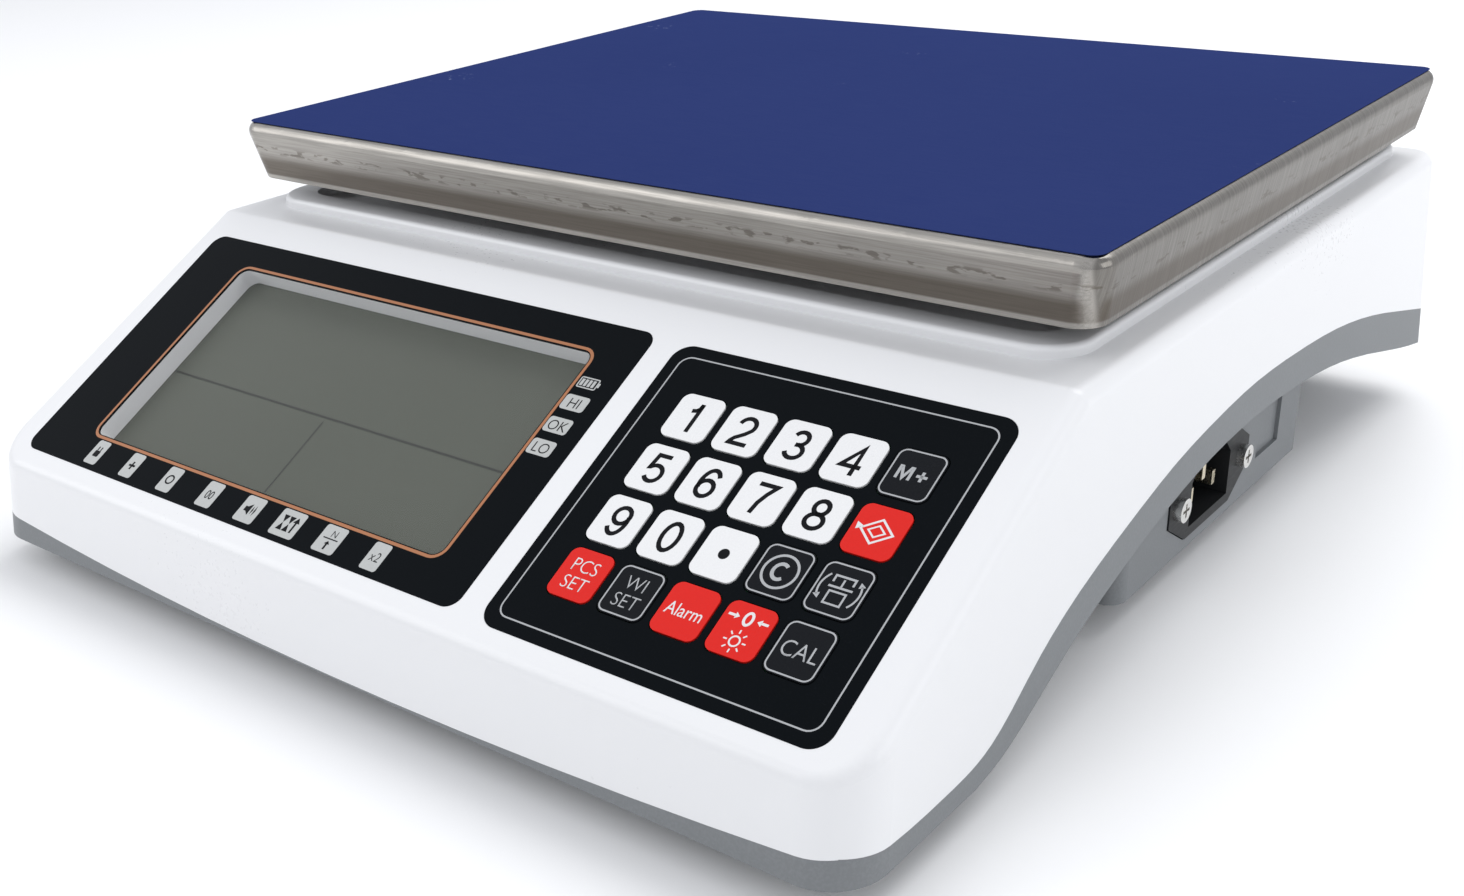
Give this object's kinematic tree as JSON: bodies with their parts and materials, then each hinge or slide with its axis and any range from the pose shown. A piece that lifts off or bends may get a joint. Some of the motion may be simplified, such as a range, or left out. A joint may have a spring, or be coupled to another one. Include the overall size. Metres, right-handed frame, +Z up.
{
  "type": "counting scale",
  "caption": "Bench-top counting scale with a stainless weighing pan, a sloped panel with a wide liquid-crystal display, and a square membrane keypad.",
  "frame": {"origin": "centre of the footprint at table level, under the levelling feet", "axes": "+Z up; the operator stands at -Y and faces +Y; +X is the operator's right"},
  "size_m": [0.295, 0.334, 0.103],
  "materials": {
    "white_abs": "satin",
    "grey_abs": "fine texture",
    "zinc": "zinc plated",
    "battery_case": "moulded",
    "steel": "brushed",
    "blue_film": "film",
    "cast_alloy": "cast",
    "rubber": "moulded",
    "black_print": "printed polyester",
    "clear_lens": "clear",
    "lcd_grey": "polariser",
    "white_diffuser": "moulded",
    "pcb": "solder mask",
    "core_steel": "varnished",
    "black_nylon": "moulded",
    "brass": "plated",
    "key_white": "printed polyester",
    "key_black": "printed polyester",
    "key_red": "printed polyester"
  },
  "bodies": {
    "housing": {"top_housing": "white_abs", "bottom_housing": "grey_abs", "housing_screws": "zinc", "battery_cover": "grey_abs", "battery": "battery_case", "load_cell": "cast_alloy", "cell_base_block": "cast_alloy", "cell_bolts": "zinc", "overload_stop": "zinc", "foot_nuts": "zinc", "lcd_overlay": "black_print", "lcd_lens": "clear_lens", "lcd_glass": "lcd_grey", "lcd_backlight": "white_diffuser", "lcd_holder": "white_diffuser", "lcd_board": "pcb", "keypad_overlay": "black_print", "keypad_circuit": "pcb", "main_board": "pcb", "power_board": "pcb", "transformer": "core_steel", "mains_inlet": "black_nylon", "inlet_pins": "brass", "inlet_screws": "zinc", "power_switch": "black_nylon"},
    "platform": {"pan_support": "cast_alloy", "pan_pads": "rubber", "platform_column": "cast_alloy", "column_bolts": "zinc"},
    "pan_assembly": {"pan": "steel", "pan_film": "blue_film"},
    "rocker": {"switch_rocker": "black_nylon"},
    "foot_1": {"foot_pad_1": "rubber"},
    "stud_1": {"foot_stud_1": "zinc"},
    "foot_2": {"foot_pad_2": "rubber"},
    "stud_2": {"foot_stud_2": "zinc"},
    "foot_3": {"foot_pad_3": "rubber"},
    "stud_3": {"foot_stud_3": "zinc"},
    "foot_4": {"foot_pad_4": "rubber"},
    "stud_4": {"foot_stud_4": "zinc"},
    "button_01": {"key_01": "key_white"},
    "button_02": {"key_02": "key_white"},
    "button_03": {"key_03": "key_white"},
    "button_04": {"key_04": "key_white"},
    "button_05": {"key_05": "key_black"},
    "button_06": {"key_06": "key_white"},
    "button_07": {"key_07": "key_white"},
    "button_08": {"key_08": "key_white"},
    "button_09": {"key_09": "key_white"},
    "button_10": {"key_10": "key_red"},
    "button_11": {"key_11": "key_white"},
    "button_12": {"key_12": "key_white"},
    "button_13": {"key_13": "key_white"},
    "button_14": {"key_14": "key_black"},
    "button_15": {"key_15": "key_black"},
    "button_16": {"key_16": "key_red"},
    "button_17": {"key_17": "key_black"},
    "button_18": {"key_18": "key_red"},
    "button_19": {"key_19": "key_red"},
    "button_20": {"key_20": "key_black"}
  },
  "joints": [
    {"name": "platform_deflection", "type": "slide", "parent": "housing", "child": "platform", "axis": [0, 0, -1], "range_m": [0, 0.0005], "stiffness_N_per_m": 60000, "springref_m": -0.0003, "deforming": ["load_cell"]},
    {"name": "pan_lift", "type": "slide", "parent": "platform", "child": "pan_assembly", "axis": [0, 0, 1], "range_m": [0, 0.08]},
    {"name": "power_rocker", "type": "hinge", "parent": "housing", "child": "rocker", "pos_m": [0.112, 0.062, 0.0095], "axis": [-1, 0, 0], "range_deg": [0, 18]},
    {"name": "foot_1_travel", "type": "slide", "parent": "housing", "child": "foot_1", "axis": [0, 0, 1], "range_m": [-0.005, 0.001]},
    {"name": "foot_1_turn", "type": "hinge", "parent": "foot_1", "child": "stud_1", "pos_m": [-0.122, -0.137, 0.005], "axis": [0, 0, 1], "range_deg": [-1800, 360]},
    {"name": "foot_2_travel", "type": "slide", "parent": "housing", "child": "foot_2", "axis": [0, 0, 1], "range_m": [-0.005, 0.001]},
    {"name": "foot_2_turn", "type": "hinge", "parent": "foot_2", "child": "stud_2", "pos_m": [0.122, -0.137, 0.005], "axis": [0, 0, 1], "range_deg": [-1800, 360]},
    {"name": "foot_3_travel", "type": "slide", "parent": "housing", "child": "foot_3", "axis": [0, 0, 1], "range_m": [-0.005, 0.001]},
    {"name": "foot_3_turn", "type": "hinge", "parent": "foot_3", "child": "stud_3", "pos_m": [-0.09, 0.146, 0.005], "axis": [0, 0, 1], "range_deg": [-1800, 360]},
    {"name": "foot_4_travel", "type": "slide", "parent": "housing", "child": "foot_4", "axis": [0, 0, 1], "range_m": [-0.005, 0.001]},
    {"name": "foot_4_turn", "type": "hinge", "parent": "foot_4", "child": "stud_4", "pos_m": [0.09, 0.146, 0.005], "axis": [0, 0, 1], "range_deg": [-1800, 360]},
    {"name": "key_01_press", "type": "slide", "parent": "housing", "child": "button_01", "axis": [0, 0.4772, -0.8788], "range_m": [0, 0.0004], "stiffness_N_per_m": 1500},
    {"name": "key_02_press", "type": "slide", "parent": "housing", "child": "button_02", "axis": [0, 0.4772, -0.8788], "range_m": [0, 0.0004], "stiffness_N_per_m": 1500},
    {"name": "key_03_press", "type": "slide", "parent": "housing", "child": "button_03", "axis": [0, 0.4772, -0.8788], "range_m": [0, 0.0004], "stiffness_N_per_m": 1500},
    {"name": "key_04_press", "type": "slide", "parent": "housing", "child": "button_04", "axis": [0, 0.4772, -0.8788], "range_m": [0, 0.0004], "stiffness_N_per_m": 1500},
    {"name": "key_05_press", "type": "slide", "parent": "housing", "child": "button_05", "axis": [0, 0.4772, -0.8788], "range_m": [0, 0.0004], "stiffness_N_per_m": 1500},
    {"name": "key_06_press", "type": "slide", "parent": "housing", "child": "button_06", "axis": [0, 0.4772, -0.8788], "range_m": [0, 0.0004], "stiffness_N_per_m": 1500},
    {"name": "key_07_press", "type": "slide", "parent": "housing", "child": "button_07", "axis": [0, 0.4772, -0.8788], "range_m": [0, 0.0004], "stiffness_N_per_m": 1500},
    {"name": "key_08_press", "type": "slide", "parent": "housing", "child": "button_08", "axis": [0, 0.4772, -0.8788], "range_m": [0, 0.0004], "stiffness_N_per_m": 1500},
    {"name": "key_09_press", "type": "slide", "parent": "housing", "child": "button_09", "axis": [0, 0.4772, -0.8788], "range_m": [0, 0.0004], "stiffness_N_per_m": 1500},
    {"name": "key_10_press", "type": "slide", "parent": "housing", "child": "button_10", "axis": [0, 0.4772, -0.8788], "range_m": [0, 0.0004], "stiffness_N_per_m": 1500},
    {"name": "key_11_press", "type": "slide", "parent": "housing", "child": "button_11", "axis": [0, 0.4772, -0.8788], "range_m": [0, 0.0004], "stiffness_N_per_m": 1500},
    {"name": "key_12_press", "type": "slide", "parent": "housing", "child": "button_12", "axis": [0, 0.4772, -0.8788], "range_m": [0, 0.0004], "stiffness_N_per_m": 1500},
    {"name": "key_13_press", "type": "slide", "parent": "housing", "child": "button_13", "axis": [0, 0.4772, -0.8788], "range_m": [0, 0.0004], "stiffness_N_per_m": 1500},
    {"name": "key_14_press", "type": "slide", "parent": "housing", "child": "button_14", "axis": [0, 0.4772, -0.8788], "range_m": [0, 0.0004], "stiffness_N_per_m": 1500},
    {"name": "key_15_press", "type": "slide", "parent": "housing", "child": "button_15", "axis": [0, 0.4772, -0.8788], "range_m": [0, 0.0004], "stiffness_N_per_m": 1500},
    {"name": "key_16_press", "type": "slide", "parent": "housing", "child": "button_16", "axis": [0, 0.4772, -0.8788], "range_m": [0, 0.0004], "stiffness_N_per_m": 1500},
    {"name": "key_17_press", "type": "slide", "parent": "housing", "child": "button_17", "axis": [0, 0.4772, -0.8788], "range_m": [0, 0.0004], "stiffness_N_per_m": 1500},
    {"name": "key_18_press", "type": "slide", "parent": "housing", "child": "button_18", "axis": [0, 0.4772, -0.8788], "range_m": [0, 0.0004], "stiffness_N_per_m": 1500},
    {"name": "key_19_press", "type": "slide", "parent": "housing", "child": "button_19", "axis": [0, 0.4772, -0.8788], "range_m": [0, 0.0004], "stiffness_N_per_m": 1500},
    {"name": "key_20_press", "type": "slide", "parent": "housing", "child": "button_20", "axis": [0, 0.4772, -0.8788], "range_m": [0, 0.0004], "stiffness_N_per_m": 1500}
  ],
  "couplings": [
    {"joint": "foot_1_turn", "follows": "foot_1_travel", "rad_per_m": 6283.2},
    {"joint": "foot_2_turn", "follows": "foot_2_travel", "rad_per_m": 6283.2},
    {"joint": "foot_3_turn", "follows": "foot_3_travel", "rad_per_m": 6283.2},
    {"joint": "foot_4_turn", "follows": "foot_4_travel", "rad_per_m": 6283.2}
  ]
}
